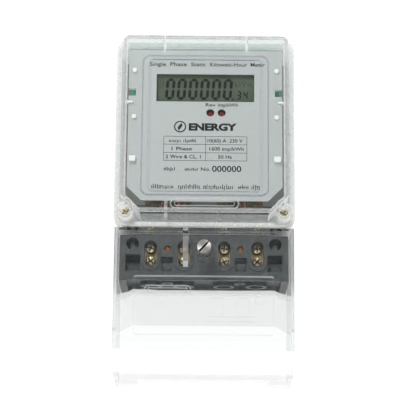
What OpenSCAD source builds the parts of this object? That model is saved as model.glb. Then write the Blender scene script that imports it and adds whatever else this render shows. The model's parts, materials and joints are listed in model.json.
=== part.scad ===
// Single-phase static kilowatt-hour meter: clear case and covers over a black terminal block.
// X runs across the meter, Y = 0 is the wall and the front faces -Y, Z is up.
// A "depth" is the distance in front of the wall, so a point at depth d lies at Y = -d.

/* [Case] */
// Width over the case rim
case_w = 112; // [108:1:116]
// Top of the case rim above the middle of the wall face
case_top = 77.4; // [76.5:0.1:78]
// Depth of the base rim, where the main cover starts
rim_d = 35.8; // [35.6:0.1:36]
// Wall thickness of the base
base_wall = 2; // [1.8:0.1:2.2]
// Lower end of the base's apron
apron_bottom = -101.5; // [-104:0.5:-100]

/* [Main cover] */
// Half the width of the raised box of the cover
box_hw = 51.3; // [51:0.1:51.6]
// Top of the box
box_top = 73.9; // [73.5:0.1:74.2]
// Bottom of the box
box_bottom = -40.1; // [-40.6:0.1:-39.6]
// Depth of the box's front face
box_d = 58.8; // [58:0.1:59.5]
// Height of the raised window above the box's front
window_rise = 1.2; // [0.8:0.1:1.6]
// Wall thickness of the clear covers
cover_wall = 1.9; // [1.7:0.1:2]

/* [Terminal block] */
// Half the width of the block
block_hw = 51.9; // [51.5:0.1:52]
// Depth of the block's front face
block_d = 36.6; // [36:0.1:37]
// Top and bottom of the block's front part
block_top = -49.2; // [-49.6:0.1:-49]
block_bottom = -77.8; // [-78.2:0.1:-77]
// Radius of a cable bore in a main terminal
cable_r = 4; // [3.5:0.1:4.1]
// Radius of the two lower wall fixing holes
fix_r = 2.6; // [2.2:0.1:2.8]

/* [Terminal cover] */
// Half the width of the terminal cover
tcover_hw = 54.1; // [54:0.1:54.4]
// Depth of the terminal cover's front face
tcover_d = 59; // [58:0.5:60]
// Lower end of the terminal cover
tcover_bottom = -137.8; // [-142:0.1:-134]
// Upper edge of the terminal cover
tcover_top = -49.8; // [-50:0.1:-49.6]
// Wall thickness of the terminal cover
tcover_wall = 1.8; // [1.5:0.1:1.8]

/* [Dial] */
// Half the width of the nameplate
plate_hw = 48.2; // [47.5:0.1:48.6]
// Depth of the nameplate's front face
plate_d = 44; // [43.5:0.1:44.5]
// Half the width of the display window
lcd_hw = 30.7; // [28:0.1:31]

/* [Hidden] */
$fn = 48;

eps = 0.01;
root2 = sqrt(2);
gap = 0.1;                      // room between a fixed piece and its pocket
running = 0.05;                 // radial room round a screw that turns

case_hw = case_w / 2;
case_bottom = -44;
rim_r = 6;
tub_in = 1;                     // the tub is this much smaller than its rim all round
tub_r = rim_r - tub_in;
rim_h = 3;
lower_rim_h = 6;                 // the rim is taller and thicker below the dial
lower_rim_top = -40.7;
flange_d = rim_d + 0.2;         // back of the main cover's flange, resting on the seal
flange_h = 3.5;
seal_w = 1.2;
seal_inset = 1.1;               // seal groove from the rim's outer edge
seal_depth = 1.4;

box_r = 4;
corner_sum = 80;                // |x| + |z| on the box's cut lower corners
window_hw = 38.8;
window_top = 60.5;
window_bottom = -29.3;
window_r = 4.5;
window_pane = [4.3, 2.4];        // the thin pane is this much smaller than the window's rise
tower = [48.8, -36.3];            // place of the sealing screw towers
tower_r = 5.3;
tower_mouth_r = 3.9;             // wide end of the countersunk mouth
tower_d = 50;
seal_screw_head_r = 2.95;
seal_screw_head_d = 42.2;        // depth of the head's face, far down in its tower
seal_screw_seat_d = 39.4;
seal_screw_r = 2;
insert_r = 3.2;
insert_l = 12;

block_back = base_wall + gap;
shoulder_hw = 43.5;
shoulder_top = -28;
shoulder_d = 28;
terminal_x = [-32.9, -12.5, 12.5, 32.9];
slot_z = -61;                   // middle of a terminal's screwdriver slot
slot_r = 3.8;
slot_half = 4.35;               // half the distance between the slot's round ends
slot_rim = 2.3;
slot_rise = 0.8;
clamp_z = [-56.3, -64.8];       // the two clamp screws of a terminal, upper and lower
clamp_r = 2.75;
clamp_head_r = 2.95;
clamp_top_d = 31.5;
clamp_tip_d = 18.4;
brass_hw = 5.2;
brass_back = 8.8;
brass_front = 27;
brass_top = -51;
brass_bottom = -73.4;
cable_d = 14;                   // depth of the cable bores' axes
cable_top = -52.4;
tail_hw = 4;
tail_back = 12;
tail_front = 15;
tail_top = -21.5;
pulse_x = 22.5;
pulse_z = -57.7;                // the small clamp screws
pulse_hw = 2.7;
pulse_d = 25;                   // depth of the pulse wires' bores
pulse_bore_r = 1.6;
pulse_top = -52;
pulse_bottom = -72;
pulse_bore_top = -55;
pulse_tail_top = -24;
fix_x = 44.05;
fix_z = -54.8;
fix_head_r = 3.9;
fix_head_d = 25.6;
foot_z = -75.2;                 // roof of the hollow in the block's underside
foot_wall_x = 4.3;
foot_wall_d = 2;
collar_r = 6.8;
pulse_collar_r = 3.6;
back_screw_x = 22.7;
back_screw_z = -40;

cover_screw_z = -62;
cover_screw_r = 4.2;
cover_screw_front = 62.5;
cover_screw_shank_r = 2;
cover_screw_tip_d = 24;

tcover_back = 8.4;              // back edge of the side walls beside the base's rails
tcover_low_back = 0.6;
tcover_step_z = -101.8;
tcover_bend_z = -122;
tcover_toe_d = 52;
tcover_roof_back = 48;           // the roof is a short lip behind the front wall
notch_hw = 40.5;
notch_d = 20;
rail_h = 8;
rail_hw = 54.6;

board_hw = 46.8;
board_top = 69.5;
board_bottom = -21;
board_back = 30;
board_t = 1.6;
board_front = board_back + board_t;
post_x = 41;
post_z = [62, -8];
bracket_t = 1.8;
plate_t = 0.8;
plate_top = 69.4;
plate_bottom = -29;
plate_sum = 68.2;               // |x| + |z| on the plate's cut lower corners
lcd_top = 53.6;
lcd_bottom = 35.4;
glass_hw = 33.5;
glass_top = 57;
glass_bottom = 32.8;
glass_t = 1.4;
led_x = [3.2, 10.3];
led_z = 28.2;
led_r = 2.4;
led_hole_r = 2.5;
peg_x = 44.6;
peg_z = [55.8, 25.2];
peg_r = 1.4;
clip_z = -2.4;
bracket_front = plate_d - plate_t;
bracket_back = bracket_front - bracket_t;

// Points of an arc, from one angle to another.
function arc(x, z, r, a0, a1, n = 6) =
    [for (i = [0 : n]) let (a = a0 + (a1 - a0) * i / n) [x + r * cos(a), z + r * sin(a)]];

// Outline of a rectangle with round corners.
function round_rect(x0, x1, z0, z1, r) = concat(
    arc(x1 - r, z1 - r, r, 0, 90), arc(x0 + r, z1 - r, r, 90, 180),
    arc(x0 + r, z0 + r, r, 180, 270), arc(x1 - r, z0 + r, r, 270, 360));

// Outline of a slot with round ends, upright or lying.
function upright_slot(x, z, half, r) =
    concat(arc(x, z + half, r, 0, 180, 12), arc(x, z - half, r, 180, 360, 12));
function lying_slot(x, z, half, r) =
    concat(arc(x + half, z, r, -90, 90, 10), arc(x - half, z, r, 90, 270, 10));

// Outline of the cover's box: round upper corners, lower corners cut at 45 degrees.
function box_outline(inset) = let (
    hw = box_hw - inset, top = box_top - inset, bottom = box_bottom + inset,
    r = max(box_r - inset, 0.5), s = corner_sum - inset * root2) concat(
    arc(hw - r, top - r, r, 0, 90), arc(-hw + r, top - r, r, 90, 180),
    [[-hw, hw - s], [-s - bottom, bottom], [s + bottom, bottom], [hw, hw - s]]);

// Outline of the nameplate and its bracket.
function dial_outline(inset) = let (
    hw = plate_hw - inset, top = plate_top - inset, bottom = plate_bottom + inset,
    s = plate_sum - inset * root2) [
    [hw, top], [-hw, top], [-hw, hw - s], [-s - bottom, bottom], [s + bottom, bottom], [hw, hw - s]];

// An outline in X and Z, given thickness from one depth to another.
module slab(d0, d1) {
    translate([0, -d0, 0]) rotate([90, 0, 0]) linear_extrude(d1 - d0) children();
}

// A round bar that points at the viewer.
module post(x, z, r, d0, d1) {
    translate([x, -d0, z]) rotate([90, 0, 0]) cylinder(r = r, h = d1 - d0);
}

// A box given by its limits in X, depth and Z.
module block(x0, x1, d0, d1, z0, z1) {
    translate([x0, -d1, z0]) cube([x1 - x0, d1 - d0, z1 - z0]);
}

module both_sides() {
    children();
    mirror([1, 0, 0]) children();
}

// ---------------------------------------------------------------- base

module keyhole_pocket() {
    difference() {
        block(-9, 9, base_wall - eps, 8, 54, case_top - tub_in - base_wall + eps);
        block(-7, 7, 1, 6.4, 56, 73);
    }
}

module base_case() {
    color("gainsboro") difference() {
        union() {
            difference() {
                union() {
                    slab(0, rim_d - rim_h) polygon(round_rect(-case_hw + tub_in, case_hw - tub_in,
                        case_bottom, case_top - tub_in, tub_r));
                    slab(rim_d - rim_h, rim_d) polygon(round_rect(-case_hw, case_hw,
                        case_bottom, case_top, rim_r));
                    block(-rail_hw, rail_hw, 0, base_wall, apron_bottom, case_bottom + 1);
                }
                slab(base_wall, rim_d + 1) polygon(round_rect(
                    -case_hw + tub_in + base_wall, case_hw - tub_in - base_wall,
                    case_bottom + base_wall, case_top - tub_in - base_wall, tub_r - base_wall));
                block(-shoulder_hw - gap, shoulder_hw + gap, base_wall, shoulder_d + gap,
                    case_bottom - 1, case_bottom + base_wall + 1);
            }
            both_sides() block(rail_hw - base_wall, rail_hw, 0, rail_h, apron_bottom, case_bottom + 1);
            both_sides() post(tower[0], tower[1], 4.6, base_wall - eps, rim_d);
            both_sides() for (z = post_z) post(post_x, z, 3, base_wall - eps, board_back);
            both_sides() block(17, 18.2, base_wall - eps, 5, -24, 60);
            block(-43.5, 43.5, rim_d - lower_rim_h, rim_d, case_bottom + 0.2, lower_rim_top);
            keyhole_pocket();
        }
        seal_groove(0);
        both_sides() post(tower[0], tower[1], insert_r, rim_d - insert_l, rim_d + 1);
        both_sides() for (z = post_z) post(post_x, z, 1.2, board_back - 10, board_back + 1);
        both_sides() post(fix_x, fix_z, fix_r, -1, base_wall + 1);
        both_sides() post(back_screw_x, back_screw_z, 1.7, -1, base_wall + 1);
        both_sides() post(back_screw_x, back_screw_z, 3.1, -1, 0.8);
        post(0, 60.5, 4.5, -1, base_wall);
        slab(-1, base_wall) polygon(upright_slot(0, 64.5, 4, 2.4));
    }
}

module seal_groove(room) {
    difference() {
        slab(rim_d - seal_depth, rim_d + 1) polygon(round_rect(
            -case_hw + seal_inset, case_hw - seal_inset,
            case_bottom + 0.4, case_top - seal_inset, rim_r - seal_inset));
        slab(rim_d - 2, rim_d + 2) polygon(round_rect(
            -case_hw + seal_inset + seal_w, case_hw - seal_inset - seal_w,
            case_bottom + 0.4 + seal_w, case_top - seal_inset - seal_w, rim_r - seal_inset - seal_w));
    }
}

module cover_seal() {
    color("wheat") intersection() {
        seal_groove(0);
        block(-60, 60, 0, flange_d - 0.05, -60, 100);
    }
}

module rim_inserts() {
    color("goldenrod") both_sides() difference() {
        post(tower[0], tower[1], insert_r, rim_d - insert_l, rim_d);
        post(tower[0], tower[1], seal_screw_r + running, rim_d - insert_l + 1, rim_d + 1);
    }
}

// ---------------------------------------------------------------- terminal block

module brass_pocket(x) {
    block(x - brass_hw - gap, x + brass_hw + gap, brass_back - gap, brass_front + gap,
        brass_bottom - gap, brass_top + gap);
    block(x - tail_hw - gap, x + tail_hw + gap, tail_back - gap, tail_front + gap,
        brass_top - 1, shoulder_top + 1);
    slab(brass_front, block_d + 2) polygon(upright_slot(x, slot_z, slot_half, slot_r));
    translate([x, -cable_d, block_bottom - 1]) cylinder(r = cable_r + 0.5, h = brass_bottom - block_bottom + 1.5);
}

module pulse_pocket(x) {
    block(x - pulse_hw - gap, x + pulse_hw + gap, pulse_d - pulse_hw - gap, pulse_d + pulse_hw + gap,
        pulse_bottom - gap, pulse_top + gap);
    block(x - 1 - gap, x + 1 + gap, pulse_d - 0.8 - gap, pulse_d + 0.8 + gap,
        pulse_top - 1, shoulder_top + 1);
    post(x, pulse_z, 2.1, pulse_d, block_d + 1);
    translate([x, -pulse_d, block_bottom - 1])
        cylinder(r = pulse_bore_r + 0.3, h = pulse_bottom - block_bottom + 1.5);
}

module finger_recess() {
    block(39.1, 48.2, block_d - 12, block_d + 1, -66.4, -61.7);
    difference() {
        block(39.1, 48.2, block_d - 5, block_d + 1, -72.1, -66);
        post(43.65, -71.6, 3.1, block_d - 6, block_d - 2.6);
    }
    block(pulse_x - 3.2, pulse_x + 3.7, block_d - 5, block_d + 1, -66.6, -63.2);
    difference() {
        block(pulse_x - 3.2, pulse_x + 3.7, block_d - 2.4, block_d + 1, -72, -66);
        post(pulse_x + 0.3, -70.2, 2, block_d - 3, block_d - 1.6);
    }
}

module foot_hollow() {
    difference() {
        block(-block_hw + foot_wall_x, block_hw - foot_wall_x, block_back + foot_wall_d,
            block_d - foot_wall_d, block_bottom - 1, foot_z);
        for (x = terminal_x)
            translate([x, -cable_d, block_bottom - 2]) cylinder(r = collar_r, h = 5);
        both_sides()
            translate([pulse_x, -pulse_d, block_bottom - 2]) cylinder(r = pulse_collar_r, h = 5);
    }
}

module terminal_block() {
    color("#2b2d2f") difference() {
        union() {
            block(-block_hw, block_hw, block_back, block_d, block_bottom, block_top);
            block(-shoulder_hw, shoulder_hw, block_back, shoulder_d, block_top - 1, shoulder_top);
            for (x = terminal_x) slab(block_d - eps, block_d + slot_rise)
                polygon(upright_slot(x, slot_z, slot_half + 0.4, slot_r + slot_rim));
        }
        foot_hollow();
        for (x = terminal_x) brass_pocket(x);
        for (x = [-pulse_x, pulse_x]) pulse_pocket(x);
        both_sides() finger_recess();
        both_sides() post(fix_x, fix_z, fix_r, 0, block_d + 1);
        both_sides() post(fix_x, fix_z, fix_head_r, fix_head_d, block_d + 1);
        both_sides() post(back_screw_x, back_screw_z, 1.3, 0, 14);
        post(0, cover_screw_z, insert_r, 22, block_d + 1);
        post(0, -70.9, 2.7, block_d - 0.3, block_d + 1);
    }
}

module block_screws() {
    color("silver") both_sides() difference() {
        union() {
            post(back_screw_x, back_screw_z, 3, 0.05, 0.75);
            post(back_screw_x, back_screw_z, 1.25, 0.7, 13);
        }
        block(back_screw_x - 2, back_screw_x + 2, -1, 0.35, back_screw_z - 0.4, back_screw_z + 0.4);
        block(back_screw_x - 0.4, back_screw_x + 0.4, -1, 0.35, back_screw_z - 2, back_screw_z + 2);
    }
}

module main_terminal(x) {
    color("darkgoldenrod") difference() {
        union() {
            block(x - brass_hw, x + brass_hw, brass_back, brass_front, brass_bottom, brass_top);
            block(x - tail_hw, x + tail_hw, tail_back, tail_front, brass_top - 1, tail_top);
        }
        translate([x, -cable_d, brass_bottom - 1]) cylinder(r = cable_r, h = cable_top - brass_bottom + 1);
        for (z = clamp_z) {
            post(x, z, clamp_r + running, cable_d, brass_front + 1);
            post(x, z, 3.5, brass_front - 1, brass_front + 1);
        }
        post(x, -24.7, 1.6, tail_back - 1, tail_front + 1);
    }
}

module cross_slots(x, z, d, half, w, turn = 0) {
    translate([x, -d, z]) rotate([0, turn, 0]) for (a = [0, 90]) rotate([0, a, 0])
        translate([-half, -1, -w / 2]) cube([2 * half, 1 + 1.4, w]);
}

module clamp_screw(x, z, turn) {
    color("khaki") difference() {
        union() {
            post(x, z, clamp_r, clamp_tip_d, brass_front + 0.4);
            post(x, z, clamp_head_r, brass_front + 0.3, clamp_top_d);
        }
        cross_slots(x, z, clamp_top_d, clamp_head_r * 0.8, 0.95, turn);
    }
}

module pulse_terminal(x) {
    color("peru") difference() {
        union() {
            block(x - pulse_hw, x + pulse_hw, pulse_d - pulse_hw, pulse_d + pulse_hw, pulse_bottom, pulse_top);
            block(x - 1, x + 1, pulse_d - 0.8, pulse_d + 0.8, pulse_top - 1, pulse_tail_top);
        }
        translate([x, -pulse_d, pulse_bottom - 1])
            cylinder(r = pulse_bore_r, h = pulse_bore_top - pulse_bottom + 1);
        post(x, pulse_z, 1.5, pulse_d, pulse_d + pulse_hw + 1);
    }
}

module pulse_screw(x) {
    color("goldenrod") difference() {
        union() {
            post(x, pulse_z, 1.45, pulse_d + pulse_bore_r + 0.1, pulse_d + pulse_hw + 1);
            post(x, pulse_z, 1.8, pulse_d + pulse_hw + 0.4, 32.4);
        }
        translate([x - 2, -34, pulse_z - 0.3]) cube([4, 2.6, 0.6]);
    }
}

module cover_screw_insert() {
    color("goldenrod") difference() {
        post(0, cover_screw_z, insert_r - 0.02, 22, block_d);
        post(0, cover_screw_z, cover_screw_shank_r + running, 23, block_d + 1);
    }
}

module current_shunt() {
    color("indianred") difference() {
        union() {
            block(terminal_x[0] - 4.5, terminal_x[0] + 6, tail_front, tail_front + 2, -28 + gap, tail_top);
            block(terminal_x[1] - 6, terminal_x[1] + 4.5, tail_front, tail_front + 2, -28 + gap, tail_top);
            block(terminal_x[0] + 5, terminal_x[1] - 5, tail_front + 0.3, tail_front + 1.7, -26.7, -22.7);
        }
        for (x = [terminal_x[0], terminal_x[1]]) post(x, -24.7, 1.6, tail_back, tail_front + 4);
    }
}

module neutral_link() {
    color("chocolate") difference() {
        block(terminal_x[2] - 4.5, terminal_x[3] + 4.5, tail_front, tail_front + 1.5, -28 + gap, tail_top);
        for (x = [terminal_x[2], terminal_x[3]]) post(x, -24.7, 1.6, tail_back, tail_front + 4);
    }
}

// ---------------------------------------------------------------- circuit board

module circuit_board() {
    color("seagreen") difference() {
        block(-board_hw, board_hw, board_back, board_front, board_bottom, board_top);
        both_sides() for (z = post_z) post(post_x, z, 1.6, board_back - 1, board_front + 1);
        both_sides() block(board_hw - 3, board_hw + 1, board_back - 1, board_front + 1, board_bottom - 1, board_bottom + 8);
    }
}

module board_screws() {
    color("silver") both_sides() for (z = post_z) difference() {
        union() {
            post(post_x, z, 1.15, board_back - 8, board_front + 0.5);
            post(post_x, z, 2.7, board_front, board_front + 1.8);
        }
        cross_slots(post_x, z, board_front + 1.8, 1.7, 0.6);
    }
}

// A chip on the back of the board, with gull-wing legs along its long sides.
module chip(x, z, w, h, t, legs, pitch) {
    block(x - w / 2, x + w / 2, board_back - 0.15 - t, board_back - 0.15, z - h / 2, z + h / 2);
    for (i = [0 : legs - 1]) for (side = [-1, 1])
        translate([x + (i - (legs - 1) / 2) * pitch - 0.2, -board_back, z + side * (h / 2 + 0.5) - 0.7])
            cube([0.4, 0.8, 1.4]);
}

module metering_chip() color("#303236") chip(-20, 30, 15.4, 7.6, 2.2, 12, 1.27);

module microcontroller() {
    color("#303236") union() {
        chip(14, 34, 10, 10, 1.5, 11, 0.8);
        for (i = [0 : 10]) for (side = [-1, 1])
            translate([14 + side * 5.5 - 0.7, -board_back, 34 + (i - 5) * 0.8 - 0.2]) cube([1.4, 0.8, 0.4]);
    }
}

module crystal() {
    color("silver") union() {
        translate([28, -board_back + 0.3 + 3.4, 34]) union() {
            cube([4.6, 6.2, 8], center = true);
        }
        translate([28, -board_back + 0.15, 34]) cube([5.2, 0.3, 9], center = true);
    }
}

module optocoupler() color("white") chip(20, -6, 4.6, 6.4, 3.4, 2, 2.54);

module film_capacitor() {
    color("gold") block(-36, -10, board_back - 16, board_back, -14, -3);
}

module electrolytic_capacitors() {
    color("navy") {
        translate([0, -board_back, 4]) rotate([-90, 0, 0]) cylinder(r = 5, h = 16);
        translate([13, -board_back, 8]) rotate([-90, 0, 0]) cylinder(r = 4, h = 12);
    }
}

module varistor() {
    color("royalblue") translate([-36, -board_back + 7.5, 12]) rotate([0, 90, 0]) union() {
        cylinder(r = 6.5, h = 4.4, center = true);
        for (z = [-2.5, 2.5]) translate([z, -7.5, 0.8 * sign(z)]) rotate([-90, 0, 0]) cylinder(r = 0.4, h = 5);
    }
}

module chip_resistors() {
    color("dimgray") for (i = [0 : 5])
        block(-8 + i * 4, -6 + i * 4, board_back - 0.6, board_back, 47, 48.2);
}

module wire_headers() {
    color("ivory") for (x = [-22, 22]) difference() {
        block(x - 6, x + 6, board_front, board_front + 7, -17, -11.2);
        block(x - 5, x + 5, board_front + 1.2, board_front + 8, -15.8, -12.4);
    }
}

// Unit tangent at point i of a path.
function tangent(p, i) = let (
    d = i == 0 ? p[1] - p[0] : i == len(p) - 1 ? p[i] - p[i - 1] : p[i + 1] - p[i - 1]) d / norm(d);

// A curve through the given points, with n steps between each pair.
function through(p, n = 3) = concat([for (i = [0 : len(p) - 2]) for (k = [0 : n - 1]) let (
    t = k / n, a = p[max(i - 1, 0)], b = p[i], c = p[i + 1], d = p[min(i + 2, len(p) - 1)])
    0.5 * (2 * b + (c - a) * t + (2 * a - 5 * b + 4 * c - d) * t * t
        + (3 * b - a - 3 * c + d) * t * t * t)], [p[len(p) - 1]]);

// An insulated wire that follows a path lying mostly in Y and Z.
module wire(points, r, sides = 8) {
    p = through(points);
    n = len(p);
    rings = [for (i = [0 : n - 1]) let (
        t = tangent(p, i), u = cross(t, [1, 0, 0]) / norm(cross(t, [1, 0, 0])), v = cross(t, u))
        for (k = [0 : sides - 1]) p[i] + r * (u * cos(360 * k / sides) + v * sin(360 * k / sides))];
    walls = [for (i = [0 : n - 2]) for (k = [0 : sides - 1])
        [i * sides + k, i * sides + (k + 1) % sides, (i + 1) * sides + (k + 1) % sides, (i + 1) * sides + k]];
    polyhedron(rings, concat([[for (k = [sides - 1 : -1 : 0]) k]], walls,
        [[for (k = [0 : sides - 1]) (n - 1) * sides + k]]));
}

module shunt_wires() {
    color("red") for (x = [-27.6, -17.6]) wire([[x, -18.1, -24.7], [x, -23, -23.6], [x, -29.4, -25.6],
        [x, -32.4, -29.4], [x + 0.6, -34.6, -31], [x + 2, -37, -27], [x + 3, -37.5, -19], [x + 3.2, -34.5, -14.1]], 0.8);
}

module pulse_wires() {
    color("orangered") {
        wire([[-21.9, -27, -24.2], [-21.6, -31, -25.5], [-21.5, -34.4, -28], [-21.8, -36.2, -25],
            [-22, -36.6, -19], [-22, -34.5, -14.1]], 0.7);
        wire([[22.5, -27, -24.2], [23, -31, -26.5], [24.5, -34.6, -32], [25, -36.8, -27],
            [24.6, -37, -19], [24.5, -34.5, -14.1]], 0.7);
    }
}

module neutral_wire() {
    color("black") wire([[18.5, -17.7, -24.7], [18.5, -23, -24], [18.4, -30, -28], [18.2, -34, -29],
        [18.4, -36.6, -25], [18.5, -36.8, -19], [18.5, -34.5, -14.1]], 0.8);
}

// ---------------------------------------------------------------- dial

module dial_bracket() {
    color("white") difference() {
        union() {
            slab(bracket_back, bracket_front) polygon(dial_outline(0.5));
            both_sides() {
                for (z = peg_z) post(peg_x, z, peg_r, bracket_front - eps, plate_d + 1);
                block(43, 47.1, bracket_front - eps, plate_d + 2, clip_z - 1.7, clip_z + 1.7);
                block(45.4, 49, plate_d + 0.1, plate_d + 1.3, 34.2, 35.3);
                block(48.5, 49, bracket_back, plate_d + 1.3, 34.2, 35.3);
                block(47.4, 49, bracket_back, bracket_back + 1, 34.2, 35.3);
                post(44.2, 49, 2.4, board_front, bracket_back + eps);
                post(44.2, 10, 2.4, board_front, bracket_back + eps);
            }
            block(-25, -22.9, 29, bracket_back + eps, -37, -27.5);
        }
        block(-glass_hw - 0.3, glass_hw + 0.3, bracket_back - 1, plate_d, glass_bottom - 0.3, glass_top + 0.3);
        for (x = led_x) post(x, led_z, led_r + 0.4, bracket_back - 1, plate_d);
        both_sides() block(43.6, 50, bracket_back - 1, plate_d + 0.05, 39, 43.8);
    }
}

module nameplate() {
    color("#bcc2c0") difference() {
        slab(plate_d - plate_t, plate_d) polygon(dial_outline(0));
        block(-lcd_hw, lcd_hw, 0, 60, lcd_bottom, lcd_top);
        for (x = led_x) post(x, led_z, led_hole_r, 40, 50);
        both_sides() {
            for (z = peg_z) post(peg_x, z, peg_r + 0.1, 40, 50);
            block(42.9, 47.2, 40, 50, clip_z - 1.8, clip_z + 1.8);
            block(43.6, 50, 40, 50, 39, 43.8);
            block(48.1, 50, 40, 50, 34, 35.5);
        }
    }
}

module lcd_front_glass() {
    color("darkseagreen") block(-glass_hw, glass_hw, bracket_front - 0.2 - glass_t, bracket_front - 0.2,
        glass_bottom + 1.6, glass_top);
}

module lcd_rear_glass() {
    color("darkseagreen") block(-glass_hw, glass_hw, bracket_front - 0.2 - 2 * glass_t,
        bracket_front - 0.2 - glass_t, glass_bottom, glass_top);
}

module lcd_reflector() {
    color("#7f8f6a") block(-glass_hw + 1, glass_hw - 1, bracket_front - 0.5 - 2 * glass_t,
        bracket_front - 0.2 - 2 * glass_t, glass_bottom + 3, glass_top - 3);
}

module lcd_contact_strips() {
    color("dimgray") for (z = [glass_bottom + 0.3, glass_top - 2.3])
        block(-31, 31, board_front, bracket_front - 0.2 - 2 * glass_t, z, z + 2);
}

module led(x) {
    color("darkred") union() {
        translate([x, -39.2, led_z]) sphere(r = led_r);
        post(x, led_z, led_r, 35.4, 39.2);
        post(x, led_z, led_r + 0.4, 34.6, 35.5);
        for (side = [-1, 1]) post(x + side * 1.27, led_z, 0.3, board_front, 34.7);
    }
}

// ---------------------------------------------------------------- main cover

module oval_ring(x, z, half, r, band, d, rise) {
    difference() {
        slab(d - eps, d + rise) polygon(lying_slot(x, z, half, r));
        slab(d - 1, d + 1) polygon(lying_slot(x, z, half, r - band));
    }
}

module main_cover() {
    color("aliceblue") union() {
        difference() {
            union() {
                slab(flange_d, flange_d + flange_h) polygon(round_rect(-case_hw, case_hw,
                    case_bottom, case_top, rim_r));
                slab(flange_d, box_d) polygon(box_outline(0));
                slab(box_d - eps, box_d + window_rise) polygon(round_rect(-window_hw, window_hw,
                    window_bottom, window_top, window_r));
                both_sides() post(tower[0], tower[1], tower_r, flange_d, tower_d);
            }
            slab(flange_d - 1, box_d - cover_wall) polygon(box_outline(cover_wall));
            slab(box_d - cover_wall - 1, box_d + window_rise - cover_wall) polygon(round_rect(
                -window_hw + window_pane[0], window_hw - window_pane[0],
                window_bottom + window_pane[1], window_top - window_pane[1], window_r - 2));
            both_sides() {
                post(tower[0], tower[1], seal_screw_r + 0.4, flange_d - 1, tower_d + 1);
                post(tower[0], tower[1], seal_screw_head_r + running, seal_screw_seat_d, tower_d + 1);
                translate([tower[0], -tower_d - eps, tower[1]]) rotate([-90, 0, 0])
                    cylinder(r1 = tower_mouth_r, r2 = seal_screw_head_r, h = 1);
                translate([tower[0], -46.5, tower[1]]) rotate([0, 135, 0]) cylinder(r = 0.9, h = 8);
            }
        }
        both_sides() block(25.5, 26.3, plate_d + 0.5, box_d - cover_wall + eps,
            68.9, box_top - cover_wall + eps);
        oval_ring(0, -34.6, 17.8, 3.2, 0.7, box_d, 0.5);
        oval_ring(0, -34.6, 16.9, 1.6, 0.5, box_d, 0.35);
    }
}

module seal_screw() {
    color("gainsboro") difference() {
        union() {
            post(tower[0], tower[1], seal_screw_head_r, seal_screw_seat_d + 0.1, seal_screw_head_d);
            post(tower[0], tower[1], seal_screw_r, rim_d - insert_l + 1.5, seal_screw_seat_d + 0.2);
        }
        cross_slots(tower[0], tower[1], seal_screw_head_d, 2.2, 0.8, 30);
    }
}

// ---------------------------------------------------------------- terminal cover

// Side outline of the terminal cover in depth and height, moved in by a wall thickness.
function tcover_side(w) = let (front = tcover_d - w, toe = tcover_toe_d - w, top = tcover_top - w) [
    [tcover_low_back - 2 * w, tcover_bottom + w], [toe, tcover_bottom + w],
    [front, tcover_bend_z + 0.3 * w], [front, top], [tcover_back - 3 * w, top],
    [tcover_back - 3 * w, tcover_step_z], [tcover_low_back - 2 * w, tcover_step_z]];

module across(hw) {
    rotate([90, 0, -90]) translate([0, 0, -hw]) linear_extrude(2 * hw) children();
}

module wiring_sketch() {
    // Raised lines of a generic two-wire connection sketch.
    for (x = [3.5, 11, 19.5, 27]) block(x, x + 0.5, tcover_d - eps, tcover_d + 0.4, -104, -93);
    for (x = [3.5, 19.5]) block(x, x + 8, tcover_d - eps, tcover_d + 0.4, -93.2, -92.7);
    for (z = [-104, -107]) block(0.8, 30.6, tcover_d - eps, tcover_d + 0.4, z - 0.5, z);
    oval_ring(33.4, -94, 0.01, 3, 0.6, tcover_d, 0.4);
}

module terminal_cover() {
    color("aliceblue") union() {
        difference() {
            across(tcover_hw) polygon(tcover_side(0));
            across(tcover_hw - tcover_wall) polygon(tcover_side(tcover_wall));
            block(-tcover_hw + tcover_wall, tcover_hw - tcover_wall, -5, tcover_roof_back,
                tcover_top - tcover_wall - 1, tcover_top + 1);
            block(-notch_hw, notch_hw, -5, notch_d, tcover_bottom - 1, tcover_bottom + 5);
            post(0, cover_screw_z, cover_screw_r + 0.1, 50, 70);
        }
        block(-12.8, -9.6, 40, tcover_d - tcover_wall + eps, -70, tcover_top - tcover_wall + eps);
        difference() {
            slab(tcover_d - eps, tcover_d + 0.5) polygon(round_rect(-42.2, 42.2, -115.3, -79.4, 2));
            slab(tcover_d - 1, tcover_d + 1) polygon(round_rect(-41.4, 41.4, -114.5, -80.2, 1.2));
        }
        oval_ring(-21.7, -88.4, 11.3, 3.1, 0.7, tcover_d, 0.5);
        oval_ring(-21.7, -88.4, 10.4, 1.6, 0.5, tcover_d, 0.35);
        wiring_sketch();
    }
}

module terminal_cover_screw() {
    color("silver") difference() {
        union() {
            post(0, cover_screw_z, cover_screw_r, block_d + 0.4, cover_screw_front);
            post(0, cover_screw_z, cover_screw_shank_r, cover_screw_tip_d, block_d + 0.5);
        }
        difference() {
            post(0, cover_screw_z, cover_screw_r + 1, 55.5, 56.7);
            post(0, cover_screw_z, cover_screw_r - 0.6, 55, 57);
        }
        translate([0, -cover_screw_front, cover_screw_z]) rotate([0, -48, 0])
            translate([-5, -1, -0.6]) cube([10, 2.4, 1.2]);
        translate([0, -60.6, cover_screw_z]) rotate([0, 42, 0]) cylinder(r = 0.8, h = 12, center = true);
    }
}

module screw_retaining_ring() {
    color("dimgray") difference() {
        post(0, cover_screw_z, 5.6, 55.6, 56.6);
        post(0, cover_screw_z, cover_screw_r - 0.5, 55, 57);
    }
}

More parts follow.
